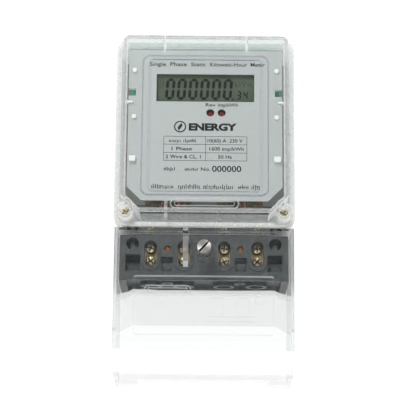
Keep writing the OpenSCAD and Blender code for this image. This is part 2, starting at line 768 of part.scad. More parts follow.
base_case();
cover_seal();
rim_inserts();
terminal_block();
block_screws();
main_terminal(terminal_x[0]);  // main_terminal_1
main_terminal(terminal_x[1]);  // main_terminal_2
main_terminal(terminal_x[2]);  // main_terminal_3
main_terminal(terminal_x[3]);  // main_terminal_4
clamp_screw(terminal_x[0], clamp_z[0], 20);  // clamp_screw_1_upper
clamp_screw(terminal_x[0], clamp_z[1], 50);  // clamp_screw_1_lower
clamp_screw(terminal_x[1], clamp_z[0], 35);  // clamp_screw_2_upper
clamp_screw(terminal_x[1], clamp_z[1], 10);  // clamp_screw_2_lower
clamp_screw(terminal_x[2], clamp_z[0], 5);  // clamp_screw_3_upper
clamp_screw(terminal_x[2], clamp_z[1], 65);  // clamp_screw_3_lower
clamp_screw(terminal_x[3], clamp_z[0], 0);  // clamp_screw_4_upper
clamp_screw(terminal_x[3], clamp_z[1], 40);  // clamp_screw_4_lower
pulse_terminal(-pulse_x);  // pulse_terminal_left
pulse_terminal(pulse_x);  // pulse_terminal_right
pulse_screw(-pulse_x);  // pulse_screw_left
pulse_screw(pulse_x);  // pulse_screw_right
cover_screw_insert();
current_shunt();
neutral_link();
circuit_board();
board_screws();
metering_chip();
microcontroller();
crystal();
optocoupler();
film_capacitor();
electrolytic_capacitors();
varistor();
chip_resistors();
wire_headers();
shunt_wires();
pulse_wires();
neutral_wire();
dial_bracket();
nameplate();
lcd_front_glass();
lcd_rear_glass();
lcd_reflector();
lcd_contact_strips();
led(led_x[0]);  // led_reverse
led(led_x[1]);  // led_pulse
main_cover();
mirror([1, 0, 0]) seal_screw();  // seal_screw_left
seal_screw();  // seal_screw_right
terminal_cover();
terminal_cover_screw();
screw_retaining_ring();
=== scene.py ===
import json
import math
import random

import bmesh
import bpy
from mathutils import Matrix, Vector


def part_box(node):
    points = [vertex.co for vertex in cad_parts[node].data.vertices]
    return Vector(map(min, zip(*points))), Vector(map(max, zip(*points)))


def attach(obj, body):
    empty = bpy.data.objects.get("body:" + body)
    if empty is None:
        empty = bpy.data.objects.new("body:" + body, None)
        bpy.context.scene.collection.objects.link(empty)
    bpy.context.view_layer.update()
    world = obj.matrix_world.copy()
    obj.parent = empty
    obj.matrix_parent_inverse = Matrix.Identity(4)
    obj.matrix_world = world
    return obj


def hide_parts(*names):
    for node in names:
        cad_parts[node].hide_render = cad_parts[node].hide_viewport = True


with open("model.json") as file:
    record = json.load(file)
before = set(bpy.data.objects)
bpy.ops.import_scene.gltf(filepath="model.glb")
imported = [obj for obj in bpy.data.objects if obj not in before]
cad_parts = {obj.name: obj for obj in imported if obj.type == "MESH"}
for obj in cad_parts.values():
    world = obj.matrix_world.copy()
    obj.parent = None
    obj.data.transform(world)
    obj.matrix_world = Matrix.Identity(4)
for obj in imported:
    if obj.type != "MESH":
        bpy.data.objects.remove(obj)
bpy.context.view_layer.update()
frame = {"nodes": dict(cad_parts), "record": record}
scene = bpy.context.scene
nodes = frame["nodes"]


# ---------------------------------------------------------------- studio
# The meter hangs upright on its wall face in a pale studio. The camera stands in front and
# below, as a fitter looks up at a meter, and turned a little about its own line of sight.

EYE = Vector((-0.00174, -0.96783, -0.28075))
SIGHT = Vector((-0.00106, 0.96465, 0.26355)).normalized()
ROLL = 0.0094
LENS = 139.84
SKY_DEPTHS = (-0.5, 0.15)       # from behind the camera to the wall
SKY_STRENGTHS = (0.24, 1.06)
FLOOR_Z = -0.75

level = SIGHT.cross(Vector((0, 0, 1))).normalized()
upright = level.cross(SIGHT)
across = level * math.cos(ROLL) + upright * math.sin(ROLL)
up = upright * math.cos(ROLL) - level * math.sin(ROLL)
camera = bpy.data.objects.new("camera", bpy.data.cameras.new("camera"))
camera.data.sensor_width = 36
camera.data.lens = LENS
camera.data.clip_start = 0.01
camera.data.clip_end = 50
camera.matrix_world = Matrix.Translation(EYE) @ Matrix(
    (across, up, -SIGHT)).transposed().to_4x4()
scene.collection.objects.link(camera)
scene.camera = camera


def node_at(tree, kind, **settings):
    """Adds a shader node with its plain settings."""
    n = tree.nodes.new(kind)
    for name, value in settings.items():
        setattr(n, name, value)
    return n


world = bpy.data.worlds.new("studio")
world.use_nodes = True
scene.world = world
sky = world.node_tree
sky.nodes.clear()
ways = node_at(sky, "ShaderNodeTexCoord")
split = node_at(sky, "ShaderNodeSeparateXYZ")
depth_ramp = node_at(sky, "ShaderNodeMapRange")
depth_ramp.inputs["From Min"].default_value, depth_ramp.inputs["From Max"].default_value = SKY_DEPTHS
depth_ramp.inputs["To Min"].default_value, depth_ramp.inputs["To Max"].default_value = SKY_STRENGTHS
glow = node_at(sky, "ShaderNodeBackground")
glow.inputs["Color"].default_value = (1, 1, 1, 1)
sky_out = node_at(sky, "ShaderNodeOutputWorld")
sky.links.new(ways.outputs["Generated"], split.inputs[0])
sky.links.new(split.outputs["Y"], depth_ramp.inputs["Value"])
sky.links.new(depth_ramp.outputs["Result"], glow.inputs["Strength"])
sky.links.new(glow.outputs["Background"], sky_out.inputs["Surface"])
scene.view_settings.view_transform = "Standard"


def softbox(name, place, target, wide, high, watts):
    """A rectangular lamp turned to face a point."""
    lamp = bpy.data.objects.new(name, bpy.data.lights.new(name, "AREA"))
    lamp.data.shape = "RECTANGLE"
    lamp.data.size = wide
    lamp.data.size_y = high
    lamp.data.energy = watts
    lamp.location = place
    lamp.rotation_mode = "QUATERNION"
    lamp.rotation_quaternion = (Vector(target) - Vector(place)).to_track_quat("-Z", "Y")
    lamp.visible_transmission = False
    scene.collection.objects.link(lamp)


softbox("key_lamp", (-0.42, -0.85, 0.85), (0, 0, 0), 0.45, 0.45, 11.5)
softbox("fill_lamp", (0.9, -0.8, 0.1), (0, 0, -0.03), 0.8, 0.8, 1.6)
softbox("low_lamp", (0.1, -0.85, -0.6), (0, 0, -0.06), 0.5, 0.3, 3.5)
scene.cycles.max_bounces = 24
scene.cycles.transmission_bounces = 20
scene.cycles.transparent_max_bounces = 24

floor_mesh = bmesh.new()
bmesh.ops.create_grid(floor_mesh, x_segments=1, y_segments=1, size=6)
bmesh.ops.translate(floor_mesh, verts=floor_mesh.verts, vec=(0, 0, FLOOR_Z))
floor_data = bpy.data.meshes.new("floor")
floor_mesh.to_mesh(floor_data)
floor_mesh.free()
floor = bpy.data.objects.new("floor", floor_data)
floor_paint = bpy.data.materials.new("floor_paint")
floor_paint.use_nodes = True
floor_shader = floor_paint.node_tree.nodes["Principled BSDF"]
floor_shader.inputs["Base Color"].default_value = (0.8, 0.8, 0.8, 1)
floor_shader.inputs["Roughness"].default_value = 0.8
floor_data.materials.append(floor_paint)
scene.collection.objects.link(floor)


# ---------------------------------------------------------------- base case
# A tub moulded in pale translucent polycarbonate, with a rim that takes the seal, four board
# posts, two posts with brass inserts and an apron down behind the terminals.


def finish_of(name, colour, roughness, metallic=0.0, **sockets):
    """A new material: its name, its tree and its Principled node."""
    made = bpy.data.materials.new(name)
    made.use_nodes = True
    tree = made.node_tree
    shader = tree.nodes["Principled BSDF"]
    shader.inputs["Base Color"].default_value = (*colour, 1)
    shader.inputs["Roughness"].default_value = roughness
    shader.inputs["Metallic"].default_value = metallic
    for socket, value in sockets.items():
        shader.inputs[socket.replace("_", " ")].default_value = value
    return made, tree, shader


def place_on(tree, scale=(1, 1, 1), turn=(0, 0, 0)):
    """Object coordinates through a Mapping node."""
    where = node_at(tree, "ShaderNodeTexCoord")
    mapped = node_at(tree, "ShaderNodeMapping")
    mapped.inputs["Scale"].default_value = scale
    mapped.inputs["Rotation"].default_value = turn
    tree.links.new(where.outputs["Object"], mapped.inputs["Vector"])
    return mapped.outputs["Vector"]


def axes_of(tree):
    """Object coordinates split into X, Y and Z."""
    split = node_at(tree, "ShaderNodeSeparateXYZ")
    tree.links.new(place_on(tree), split.inputs[0])
    return split.outputs


def grain(tree, where, scale, detail=3.0, rough=0.5):
    """A noise texture; returns its factor."""
    n = node_at(tree, "ShaderNodeTexNoise")
    n.inputs["Scale"].default_value = scale
    n.inputs["Detail"].default_value = detail
    n.inputs["Roughness"].default_value = rough
    tree.links.new(where, n.inputs["Vector"])
    return n.outputs["Fac"]


def ramp(tree, value, stops):
    """A colour ramp with (position, grey or colour) stops."""
    r = node_at(tree, "ShaderNodeValToRGB")
    band = r.color_ramp
    while len(band.elements) < len(stops):
        band.elements.new(0.5)
    for e, (at, c) in zip(band.elements, stops):
        e.position = at
        e.color = (*c, 1) if isinstance(c, tuple) else (c, c, c, 1)
    tree.links.new(value, r.inputs["Fac"])
    return r.outputs["Color"]


def bumps(tree, shader, height, strength, distance=0.0001, onto=None):
    """Feeds a height into the shader's normal."""
    b = node_at(tree, "ShaderNodeBump")
    b.inputs["Strength"].default_value = strength
    b.inputs["Distance"].default_value = distance
    tree.links.new(height, b.inputs["Height"])
    if onto is not None:
        tree.links.new(onto, b.inputs["Normal"])
    tree.links.new(b.outputs["Normal"], shader.inputs["Normal"])
    return b.outputs["Normal"]


def maths(tree, operation, *terms):
    """A Math node over numbers and sockets; returns its value."""
    n = node_at(tree, "ShaderNodeMath", operation=operation)
    for socket, term in zip(n.inputs, terms):
        if isinstance(term, (int, float)):
            socket.default_value = term
        else:
            tree.links.new(term, socket)
    return n.outputs[0]


def remapped(tree, value, low, high, to_low=0.0, to_high=1.0):
    """A Map Range node; returns its result."""
    n = node_at(tree, "ShaderNodeMapRange")
    for name, number in (("From Min", low), ("From Max", high),
                         ("To Min", to_low), ("To Max", to_high)):
        n.inputs[name].default_value = number
    tree.links.new(value, n.inputs["Value"])
    return n.outputs["Result"]


def toned(tree, shader, share, colour):
    """Turns the base colour towards another one by a share."""
    base_colour = shader.inputs["Base Color"]
    mix = node_at(tree, "ShaderNodeMix", data_type="RGBA")
    if base_colour.is_linked:
        tree.links.new(base_colour.links[0].from_socket, mix.inputs["A"])
    else:
        mix.inputs["A"].default_value = base_colour.default_value
    mix.inputs["B"].default_value = (*colour, 1)
    tree.links.new(share, mix.inputs["Factor"])
    tree.links.new(mix.outputs["Result"], base_colour)


def scattering(tree, shader, share, white=(0.9, 0.91, 0.9)):
    """Lays a matt skin that scatters light both ways over a shader, by a share from 0 to 1."""
    matt = node_at(tree, "ShaderNodeBsdfDiffuse")
    glowing = node_at(tree, "ShaderNodeBsdfTranslucent")
    for skin in (matt, glowing):
        if isinstance(white, tuple):
            skin.inputs["Color"].default_value = (*white, 1)
        else:
            tree.links.new(white, skin.inputs["Color"])
    both = node_at(tree, "ShaderNodeMixShader")
    tree.links.new(matt.outputs[0], both.inputs[1])
    tree.links.new(glowing.outputs[0], both.inputs[2])
    over = node_at(tree, "ShaderNodeMixShader")
    if isinstance(share, float):
        over.inputs[0].default_value = share
    else:
        tree.links.new(share, over.inputs[0])
    tree.links.new(shader.outputs[0], over.inputs[1])
    tree.links.new(both.outputs[0], over.inputs[2])
    return over.outputs[0]


def lets_light_in(tree, surface, tint, share):
    """Lamp light and ambient light pass the plastic straight, so that what is behind it is lit."""
    rays = node_at(tree, "ShaderNodeLightPath")
    open_side = node_at(tree, "ShaderNodeBsdfTransparent")
    open_side.inputs["Color"].default_value = (*tint, 1)
    lighting = maths(tree, "MAXIMUM", rays.outputs["Is Shadow Ray"], rays.outputs["Is Diffuse Ray"])
    mix = node_at(tree, "ShaderNodeMixShader")
    tree.links.new(maths(tree, "MULTIPLY", lighting, share), mix.inputs[0])
    tree.links.new(surface, mix.inputs[1])
    tree.links.new(open_side.outputs[0], mix.inputs[2])
    tree.links.new(mix.outputs[0], tree.nodes["Material Output"].inputs["Surface"])


def softened(node, name, width, segments=2, sharper_than=28):
    """A copy of a node with its triangles joined and its edges rounded. It replaces the node."""
    soft = bmesh.new()
    soft.from_mesh(nodes[node].data)
    bmesh.ops.remove_doubles(soft, verts=soft.verts, dist=1e-6)
    bmesh.ops.dissolve_limit(soft, angle_limit=math.radians(0.6), verts=soft.verts, edges=soft.edges)
    bmesh.ops.connect_verts_concave(soft, faces=soft.faces)
    edges = [e for e in soft.edges if e.is_manifold
             and e.calc_face_angle(0) > math.radians(sharper_than)]
    bmesh.ops.bevel(soft, geom=edges, offset=width, offset_type="OFFSET", affect="EDGES",
                    segments=segments, profile=0.5, material=-1, clamp_overlap=True)
    for f in soft.faces:
        f.smooth = True
    data = bpy.data.meshes.new(name)
    soft.to_mesh(data)
    soft.free()
    piece = bpy.data.objects.new(name, data)
    scene.collection.objects.link(piece)
    data.set_sharp_from_angle(angle=math.radians(40))
    weigh = piece.modifiers.new("weighted_normals", "WEIGHTED_NORMAL")
    weigh.keep_sharp = True
    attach(piece, body_of_node[node])
    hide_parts(node)
    return piece


bodies = frame["record"]["behaviour"]["bodies"]
body_of_node = {n: b for b, members in bodies.items() for n in members}


def dress(thing, made):
    """Gives a piece or a CAD node one material."""
    data = (nodes[thing] if isinstance(thing, str) else thing).data
    data.materials.clear()
    data.materials.append(made)


def moulded(name, dark, light, roughness, scale=400.0, bump=0.15, bump_scale=1500.0, metallic=0.0,
            **sockets):
    """A finish whose colour wanders between two tones, with a fine uneven surface."""
    made, tree, shader = finish_of(name, light, roughness, metallic, **sockets)
    place = place_on(tree)
    tone = ramp(tree, grain(tree, place, scale, 5, 0.6), [(0.32, dark), (0.68, light)])
    tree.links.new(tone, shader.inputs["Base Color"])
    gloss = remapped(tree, grain(tree, place, scale * 0.6, 3), 0.0, 1.0,
                     max(roughness - 0.07, 0.02), roughness + 0.07)
    tree.links.new(gloss, shader.inputs["Roughness"])
    bumps(tree, shader, grain(tree, place, bump_scale, 3), bump, 0.00004)
    return made, tree, shader


APRON_CLEARS = (-0.074, -0.082)     # heights between which the apron turns nearly see-through
TUB_FLOOR = (-0.0028, 0.0018)       # middle and half depth of the floor's inner face
SHADED_DOWN_TO = -0.062

tub_plastic, tree, shader = moulded("case_polycarbonate", (0.8, 0.805, 0.79), (0.88, 0.885, 0.875), 0.3,
                                    scale=120, bump=0.1, IOR=1.58)
spot = axes_of(tree)
# Painted shade: where Y lies within TUB_FLOOR and Z is above SHADED_DOWN_TO, the tub is painted dark grey
# under a larger share of scattering skin. This stands in for the shade on the floor inside the case, and
# the band also runs round the tub's sides at that depth.
in_shade = maths(tree, "MULTIPLY", maths(tree, "COMPARE", spot["Y"], *TUB_FLOOR),
                 maths(tree, "GREATER_THAN", spot["Z"], SHADED_DOWN_TO))
painted_floor_shade = node_at(tree, "ShaderNodeMix", data_type="RGBA")
painted_floor_shade.inputs["A"].default_value = (0.9, 0.91, 0.9, 1)
painted_floor_shade.inputs["B"].default_value = (0.32, 0.33, 0.32, 1)
tree.links.new(in_shade, painted_floor_shade.inputs["Factor"])
milky = scattering(tree, shader, remapped(tree, in_shade, 0, 1, 0.6, 0.95), painted_floor_shade.outputs["Result"])
see_through = node_at(tree, "ShaderNodeBsdfTransparent")
see_through.inputs["Color"].default_value = (0.97, 0.97, 0.97, 1)
thinner = node_at(tree, "ShaderNodeMixShader")
tree.links.new(remapped(tree, spot["Z"], *APRON_CLEARS, 0.0, 0.85), thinner.inputs[0])
tree.links.new(milky, thinner.inputs[1])
tree.links.new(see_through.outputs[0], thinner.inputs[2])
lets_light_in(tree, thinner.outputs[0], (0.95, 0.95, 0.94), 0.45)
dress(softened("base_case", "case_tub", 0.0004), tub_plastic)


# ---------------------------------------------------------------- seal and inserts
# A translucent silicone cord fills the groove in the rim. It has yellowed near the lower corners,
# where the two turned brass inserts are pressed into their posts.

silicone, tree, shader = finish_of("aged_silicone", (0.86, 0.84, 0.78), 0.45, Transmission_Weight=0.35,
                                   IOR=1.41)
lower = remapped(tree, axes_of(tree)["Z"], 0.0, -0.045)
yellowed = maths(tree, "MULTIPLY_ADD", grain(tree, place_on(tree), 90, 4), 0.35, lower)
tree.links.new(ramp(tree, yellowed, [(0.35, (0.88, 0.88, 0.86)), (1.0, (0.84, 0.72, 0.6))]),
               shader.inputs["Base Color"])
lets_light_in(tree, scattering(tree, shader, 0.3), (0.95, 0.94, 0.9), 0.4)
dress(softened("cover_seal", "seal_cord", 0.0002), silicone)

turned_brass, tree, shader = moulded("turned_brass", (0.7, 0.46, 0.18), (0.9, 0.68, 0.34), 0.28,
                                     scale=700, bump=0.2, metallic=1.0)
for n in ("rim_inserts", "cover_screw_insert"):
    dress(softened(n, n.replace("insert", "brass_insert"), 0.0002), turned_brass)


# ---------------------------------------------------------------- terminal block
# One block of compression-moulded black phenolic, faintly mottled and a little glossy, with
# its edges just broken. Two screws through the back of the tub hold it.

phenolic, tree, shader = finish_of("black_phenolic", (0.05, 0.055, 0.056), 0.36)
place = place_on(tree)
tree.links.new(ramp(tree, grain(tree, place, 330, 8, 0.7),
                    [(0.3, (0.03, 0.036, 0.037)), (0.55, (0.056, 0.062, 0.062)),
                     (0.75, (0.085, 0.09, 0.088))]), shader.inputs["Base Color"])
bumps(tree, shader, grain(tree, place, 900, 6, 0.6), 0.35, 0.00006)
EDGE_HIGHLIGHT_WIDTH = 0.0008                 # width of the painted highlight along the front's lower edge
spot = axes_of(tree)
low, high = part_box("terminal_block")
# Painted highlight: the front's lower edge is toned paler grey, where it catches the light.
painted_edge_highlight = maths(tree, "MULTIPLY", maths(tree, "LESS_THAN", spot["Y"], low[1] + EDGE_HIGHLIGHT_WIDTH),
               maths(tree, "LESS_THAN", spot["Z"], low[2] + EDGE_HIGHLIGHT_WIDTH))
toned(tree, shader, painted_edge_highlight, (0.3, 0.31, 0.31))
dress(softened("terminal_block", "moulded_block", 0.00025), phenolic)

zinc, tree, shader = moulded("bright_zinc", (0.62, 0.63, 0.64), (0.82, 0.83, 0.84), 0.24, scale=600,
                             bump=0.2, metallic=1.0)
for n in ("block_screws", "board_screws"):
    dress(softened(n, n.replace("screws", "fixing_screws"), 0.00008), zinc)


# ---------------------------------------------------------------- brass terminals
# Four drawn brass bars, bored from below for the cables, stand in pockets of the block, with
# two small ones for the pulse output. The saw and drill marks still show on them.

terminal_brass, tree, shader = finish_of("terminal_brass", (0.75, 0.55, 0.27), 0.45, 1.0)
streaky = place_on(tree, scale=(1, 1, 0.12))
tree.links.new(ramp(tree, grain(tree, streaky, 900, 6, 0.65),
                    [(0.3, (0.62, 0.45, 0.22)), (0.7, (0.92, 0.75, 0.46))]), shader.inputs["Base Color"])
bumps(tree, shader, grain(tree, streaky, 1500, 4), 0.3, 0.00004)
for i in range(1, 5):
    dress(softened(f"main_terminal_{i}", f"brass_terminal_{i}", 0.0002), terminal_brass)
for side in ("left", "right"):
    dress(softened(f"pulse_terminal_{side}", f"pulse_brass_{side}", 0.00015), terminal_brass)


# ---------------------------------------------------------------- clamp screws
# Steel screws with slightly crowned heads and crossed recesses. Their yellow zinc passivation
# shines green, gold and pink.

plating, tree, shader = finish_of("yellow_passivated_zinc", (0.75, 0.73, 0.5), 0.27, 1.0)
place = place_on(tree)
tree.links.new(ramp(tree, grain(tree, place, 420, 2, 0.5),
                    [(0.3, (0.62, 0.74, 0.6)), (0.42, (0.86, 0.82, 0.42)), (0.54, (0.9, 0.62, 0.48)),
                     (0.66, (0.86, 0.85, 0.6)), (0.78, (0.6, 0.78, 0.7))]), shader.inputs["Base Color"])


def folded(tree, value, *middles):
    """Folds a coordinate over the middles given, so that rows of like things share one spot."""
    for middle in middles:
        value = maths(tree, "ABSOLUTE", maths(tree, "SUBTRACT", value, middle))
    return value


SCREWS_X = (0, 0.0227, 0.0102)  # folds that bring the eight heads over each other
SCREWS_Z = (-0.06055, 0.00425)
HEAD_RADIUS = 0.0034
spot = axes_of(tree)
head_spot = node_at(tree, "ShaderNodeCombineXYZ")
tree.links.new(folded(tree, spot["X"], *SCREWS_X), head_spot.inputs["X"])
tree.links.new(folded(tree, spot["Z"], *SCREWS_Z), head_spot.inputs["Y"])
from_axis = node_at(tree, "ShaderNodeVectorMath", operation="LENGTH")
tree.links.new(head_spot.outputs[0], from_axis.inputs[0])
out = maths(tree, "DIVIDE", from_axis.outputs["Value"], HEAD_RADIUS)
dome = maths(tree, "SUBTRACT", 1.0, maths(tree, "MULTIPLY", out, out))
crown = bumps(tree, shader, dome, 1.0, 0.0008)
bumps(tree, shader, grain(tree, place, 750, 2), 1.0, 0.00055, crown)
head_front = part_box("clamp_screw_1_upper")[0][1]
# Painted shade: faces that lie behind the head's front, in the crossed recess, are toned nearly black.
painted_recess_shade = remapped(tree, spot["Y"], head_front + 0.0001, head_front + 0.0004)
toned(tree, shader, painted_recess_shade, (0.05, 0.045, 0.03))
for i in range(1, 5):
    for row in ("upper", "lower"):
        dress(softened(f"clamp_screw_{i}_{row}", f"screw_{i}_{row}", 0.00008), plating)
copper_plate, tree, shader = moulded("coppery_passivation", (0.75, 0.3, 0.1), (0.95, 0.55, 0.2), 0.25,
                                     scale=500, bump=0.3, metallic=1.0)
for side in ("left", "right"):
    dress(softened(f"pulse_screw_{side}", f"small_screw_{side}", 0.00012), copper_plate)


# ---------------------------------------------------------------- shunt and link
# The shunt is a grey resistance bar brazed between two copper ends. The link is one copper strip.
# Both lie flat on the tails at the tops of the brass terminals.

copper, tree, shader = finish_of("shunt_copper", (0.8, 0.45, 0.3), 0.32, 1.0)
streak = grain(tree, place_on(tree, scale=(0.2, 1, 1)), 900, 4)
bare = ramp(tree, streak, [(0.35, (0.62, 0.3, 0.18)), (0.65, (0.88, 0.52, 0.36))])
alloy = ramp(tree, streak, [(0.35, (0.42, 0.38, 0.34)), (0.65, (0.6, 0.55, 0.5))])
COPPER_END = 0.0105
low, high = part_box("current_shunt")
in_middle = maths(tree, "COMPARE", axes_of(tree)["X"], (low[0] + high[0]) / 2,
                  (high[0] - low[0]) / 2 - COPPER_END)
either = node_at(tree, "ShaderNodeMix", data_type="RGBA")
tree.links.new(in_middle, either.inputs["Factor"])
tree.links.new(bare, either.inputs["A"])
tree.links.new(alloy, either.inputs["B"])
tree.links.new(either.outputs["Result"], shader.inputs["Base Color"])
dress(softened("current_shunt", "brazed_shunt", 0.0002), copper)
strip, tree, shader = moulded("link_copper", (0.62, 0.3, 0.18), (0.88, 0.52, 0.36), 0.32, scale=500,
                              bump=0.2, metallic=1.0)
dress(softened("neutral_link", "copper_link", 0.0002), strip)


# ---------------------------------------------------------------- circuit board
# Glass laminate under a green solder mask with pale track lines, and the parts soldered to it.
# Four screws hold it on the posts of the tub.

mask, tree, shader = finish_of("solder_mask", (0.03, 0.42, 0.27), 0.28)
place = place_on(tree, turn=(math.radians(90), 0, 0))
tracks = node_at(tree, "ShaderNodeTexBrick")
tracks.inputs["Scale"].default_value = 220
tracks.inputs["Mortar Size"].default_value = 0.06
tracks.inputs["Color1"].default_value = (0.025, 0.38, 0.24, 1)
tracks.inputs["Color2"].default_value = (0.03, 0.45, 0.29, 1)
tracks.inputs["Mortar"].default_value = (0.1, 0.42, 0.26, 1)
tree.links.new(place, tracks.inputs["Vector"])
tree.links.new(tracks.outputs["Color"], shader.inputs["Base Color"])
bumps(tree, shader, tracks.outputs["Fac"], 0.3, 0.00005)
dress(softened("circuit_board", "printed_board", 0.0001), mask)


def legged(name, node, half_wide, half_high):
    """Black epoxy in the middle of a chip and bright tin on the legs that stand out of it."""
    low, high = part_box(node)
    made, tree, shader = moulded(name, (0.015, 0.015, 0.017), (0.035, 0.035, 0.038), 0.45, scale=900)
    spot = axes_of(tree)
    in_body = maths(tree, "MULTIPLY",
                    maths(tree, "COMPARE", spot["X"], (low[0] + high[0]) / 2, half_wide),
                    maths(tree, "COMPARE", spot["Z"], (low[2] + high[2]) / 2, half_high))
    on_legs = maths(tree, "SUBTRACT", 1.0, in_body)
    toned(tree, shader, on_legs, (0.75, 0.75, 0.72))
    tree.links.new(on_legs, shader.inputs["Metallic"])
    return made


for n, half_wide, half_high in (("metering_chip", 0.00775, 0.00385), ("microcontroller", 0.00505, 0.00505),
                                ("optocoupler", 0.0024, 0.00325), ("chip_resistors", 0.012, 0.0004)):
    dress(n, legged(f"{n}_epoxy", n, half_wide, half_high))
can, tree, shader = moulded("nickel_can", (0.6, 0.59, 0.55), (0.78, 0.77, 0.73), 0.22, scale=500,
                            bump=0.15, metallic=1.0)
dress(softened("crystal", "crystal_can", 0.0004, 3), can)
yellow, tree, shader = moulded("capacitor_yellow", (0.62, 0.4, 0.03), (0.8, 0.55, 0.06), 0.3, scale=300)
dress(softened("film_capacitor", "yellow_capacitor", 0.0008, 3), yellow)
navy, tree, shader = moulded("sleeve_navy", (0.012, 0.02, 0.07), (0.025, 0.045, 0.13), 0.25, scale=200)
dress(softened("electrolytic_capacitors", "sleeved_capacitors", 0.0005, 3), navy)
blue, tree, shader = moulded("dipped_blue", (0.02, 0.07, 0.32), (0.04, 0.13, 0.5), 0.2, scale=160,
                             bump=0.3, bump_scale=400)
dress(softened("varistor", "dipped_varistor", 0.0007, 3), blue)


# ---------------------------------------------------------------- wires
# Stranded copper wires in PVC, four red and one black. They run from the terminals and the
# shunt to white nylon headers on the board.

red, tree, shader = moulded("red_insulation", (0.17, 0.06, 0.045), (0.26, 0.1, 0.075), 0.38, scale=250)
for n in ("shunt_wires", "pulse_wires"):
    dress(n, red)
black, tree, shader = moulded("black_insulation", (0.015, 0.015, 0.015), (0.035, 0.035, 0.035), 0.38,
                              scale=250)
dress("neutral_wire", black)
nylon, tree, shader = moulded("header_nylon", (0.68, 0.67, 0.62), (0.8, 0.79, 0.74), 0.42, scale=300)
dress(softened("wire_headers", "nylon_headers", 0.0002), nylon)


# ---------------------------------------------------------------- dial bracket
# One white ABS moulding that stands on the board on four posts. It carries the display, and its
# pegs, clips and hooks hold the nameplate.

FEET_SHADE_PAINTED = (-0.026, -0.031)  # heights between which the feet turn grey, as painted shade
white, tree, shader = moulded("white_abs", (0.74, 0.745, 0.73), (0.84, 0.845, 0.83), 0.36, scale=200,
                              bump=0.12)
# Painted shade: the lower parts of the feet, which stand in shade inside the case, are toned dark grey.
toned(tree, shader, remapped(tree, axes_of(tree)["Z"], *FEET_SHADE_PAINTED), (0.33, 0.335, 0.32))
dress(softened("dial_bracket", "white_bracket", 0.00025), white)


# ---------------------------------------------------------------- nameplate
# A thin aluminium sheet, lacquered pale grey and screen printed in black. The print has generic
# words and ratings, plain rules, a round energy sign, a row of zeros, and strokes for the rest.

lacquer, tree, shader = finish_of("grey_lacquer", (0.5, 0.53, 0.52), 0.42)
place = place_on(tree)
tree.links.new(ramp(tree, grain(tree, place, 1300, 4, 0.7),
                    [(0.3, (0.385, 0.412, 0.404)), (0.7, (0.45, 0.475, 0.465))]),
               shader.inputs["Base Color"])
bumps(tree, shader, grain(tree, place, 2500, 2), 0.15, 0.00002)
dress(softened("nameplate", "lacquered_plate", 0.0001, 1), lacquer)

PLATE_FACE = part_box("nameplate")[0][1]
INK = 0.00006                   # how far the print stands off the lacquer
rng = random.Random(7)


def bar(marks, x0, x1, z0, z1, face, thick):
    """A thin rectangular mark in millimetres, added to a bmesh of marks."""
    made = bmesh.ops.create_cube(marks, size=1)["verts"]
    bmesh.ops.scale(marks, verts=made, vec=((x1 - x0) / 1000, thick, (z1 - z0) / 1000))
    bmesh.ops.translate(marks, verts=made,
                        vec=((x0 + x1) / 2000, face - thick / 2, (z0 + z1) / 2000))


def strokes(marks, x0, x1, z, high, pen):
    """A word's worth of upright strokes of uneven height, with a short dash here and there."""
    x = x0
    while x < x1 - pen:
        low = z if rng.random() < 0.85 else z - 0.25 * high
        top = z + high * rng.choice((0.62, 0.68, 0.68, 1.0))
        bar(marks, x, x + pen, low, top, PLATE_FACE, INK)
        if rng.random() < 0.55:
            level_of = z + high * rng.choice((0.0, 0.3, 0.56))
            bar(marks, x, min(x + 2.3 * pen, x1), level_of, level_of + pen * 0.8, PLATE_FACE, INK)
        x += pen * rng.uniform(2.1, 3.0)


def row_of_words(marks, words, z, high, pen):
    """A line of words in strokes, each between its two places."""
    for x0, x1 in words:
        strokes(marks, x0, x1, z, high, pen)


def finished(marks, name, body, made):
    """Turns a bmesh into a piece on a body, in one finish."""
    data = bpy.data.meshes.new(name)
    marks.to_mesh(data)
    marks.free()
    piece = bpy.data.objects.new(name, data)
    scene.collection.objects.link(piece)
    dress(piece, made)
    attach(piece, body)


def thickened(marks, faces, thick):
    """Gives flat marks a back, thick behind their front."""
    made = bmesh.ops.extrude_face_region(marks, geom=faces, use_keep_orig=True)["geom"]
    backs = [g for g in made if isinstance(g, bmesh.types.BMVert)]
    bmesh.ops.translate(marks, verts=backs, vec=(0, thick, 0))


def figures(marks, wording, x0, x1, z, high, face, thick, fat=0.03):
    """Generic words and numbers from a plain type face, fitted between two places."""
    curve = bpy.data.curves.new("figures", "FONT")
    curve.body = wording
    curve.size = high * 1.4 / 1000
    curve.offset = fat / 1000
    curve.resolution_u = 3
    shape = bpy.data.objects.new("figures", curve)
    scene.collection.objects.link(shape)
    flat = bpy.data.meshes.new_from_object(shape.evaluated_get(bpy.context.evaluated_depsgraph_get()))
    bpy.data.objects.remove(shape)
    wide = [v.co.x for v in flat.vertices]
    stretch = (x1 - x0) / 1000 / (max(wide) - min(wide))
    flat.transform(Matrix.Translation((x0 / 1000, face - thick, z / 1000))
                   @ Matrix.Rotation(math.radians(90), 4, "X")
                   @ Matrix.Diagonal((stretch, 1, 1, 1)) @ Matrix.Translation((-min(wide), 0, 0)))
    old = set(marks.faces)
    marks.from_mesh(flat)
    bpy.data.meshes.remove(flat)
    thickened(marks, [f for f in marks.faces if f not in old], thick * 0.9)


